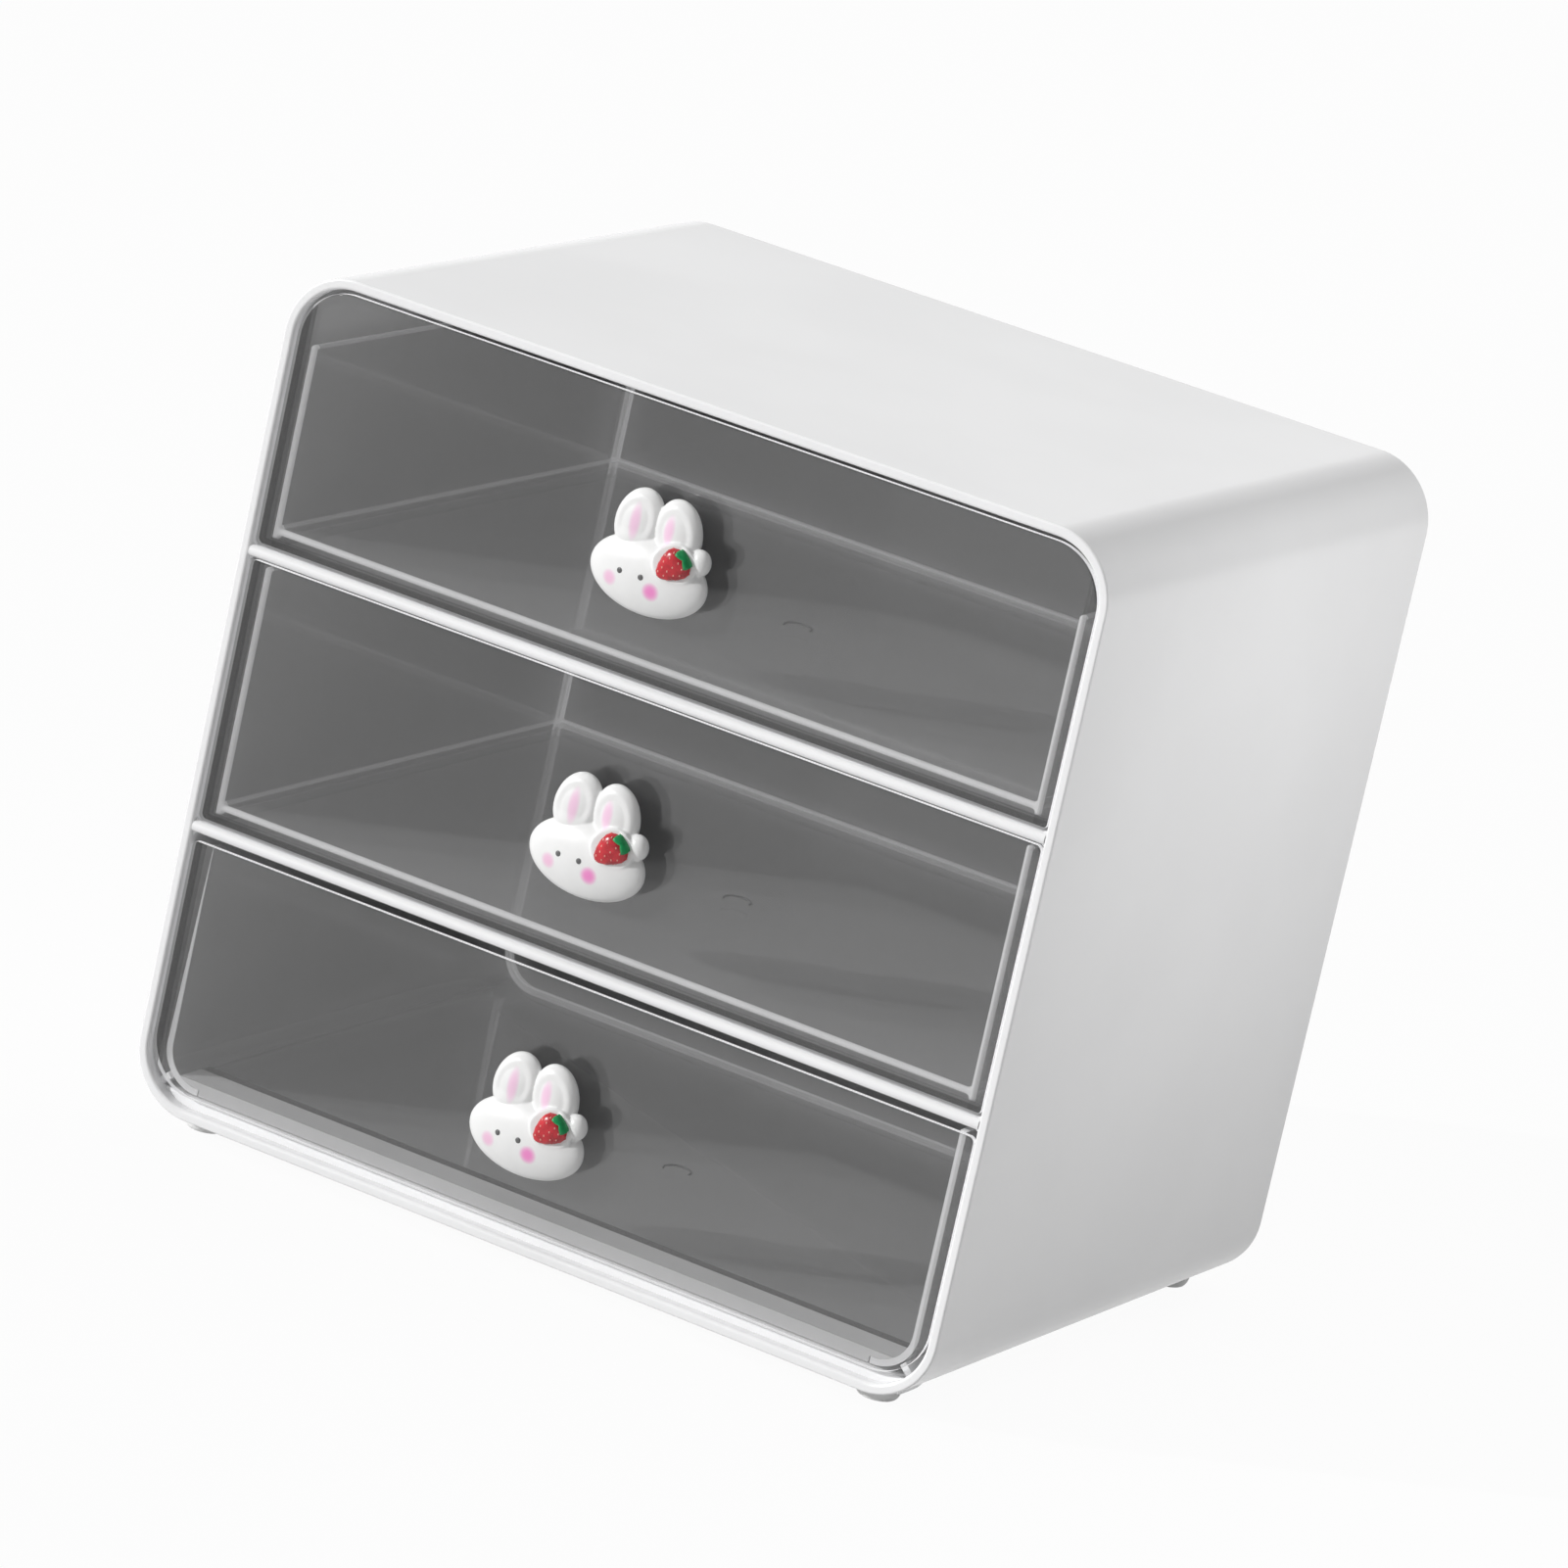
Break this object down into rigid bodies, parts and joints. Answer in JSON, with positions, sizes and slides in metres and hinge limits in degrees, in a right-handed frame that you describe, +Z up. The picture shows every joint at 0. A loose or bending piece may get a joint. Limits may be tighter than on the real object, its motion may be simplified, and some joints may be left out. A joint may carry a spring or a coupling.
{
  "type": "makeup organizer with drawers",
  "caption": "Desktop organizer: rounded white case with stacked smoky transparent pull-out drawers, each with a flat front and a rabbit-head knob that carries a strawberry.",
  "frame": {"origin": "centre of the whole outline, knobs included, on the surface that the feet stand on", "axes": "+X to the right seen from the front, along the case width; +Y towards the back; +Z up"},
  "size_m": [0.2372, 0.1894, 0.2264],
  "materials": {
    "white_plastic": "gloss white",
    "smoky_plastic": "polished, transparent, smoke grey",
    "knob_resin": "satin white",
    "berry_red": "gloss red",
    "leaf_green": "gloss green",
    "screw_steel": "zinc plated",
    "foot_rubber": "matte white"
  },
  "bodies": {
    "case": {"case_shell": "white_plastic", "back_panel": "white_plastic", "lower_shelf": "white_plastic", "upper_shelf": "white_plastic", "foot_front_left": "foot_rubber", "foot_front_right": "foot_rubber", "foot_rear_left": "foot_rubber", "foot_rear_right": "foot_rubber"},
    "lower_drawer": {"lower_tray": "smoky_plastic", "lower_front_plate": "smoky_plastic", "lower_rabbit_knob": "knob_resin", "lower_strawberry": "berry_red", "lower_strawberry_leaf": "leaf_green", "lower_knob_washer": "screw_steel", "lower_knob_screw": "screw_steel", "lower_front_ledge": "white_plastic"},
    "middle_drawer": {"middle_tray": "smoky_plastic", "middle_front_plate": "smoky_plastic", "middle_rabbit_knob": "knob_resin", "middle_strawberry": "berry_red", "middle_strawberry_leaf": "leaf_green", "middle_knob_washer": "screw_steel", "middle_knob_screw": "screw_steel"},
    "upper_drawer": {"upper_tray": "smoky_plastic", "upper_front_plate": "smoky_plastic", "upper_rabbit_knob": "knob_resin", "upper_strawberry": "berry_red", "upper_strawberry_leaf": "leaf_green", "upper_knob_washer": "screw_steel", "upper_knob_screw": "screw_steel"}
  },
  "joints": [
    {"name": "lower_drawer_slide", "type": "slide", "parent": "case", "child": "lower_drawer", "axis": [0, -1, 0], "range_m": [0, 0.13]},
    {"name": "middle_drawer_slide", "type": "slide", "parent": "case", "child": "middle_drawer", "axis": [0, -1, 0], "range_m": [0, 0.13]},
    {"name": "upper_drawer_slide", "type": "slide", "parent": "case", "child": "upper_drawer", "axis": [0, -1, 0], "range_m": [0, 0.13]}
  ]
}
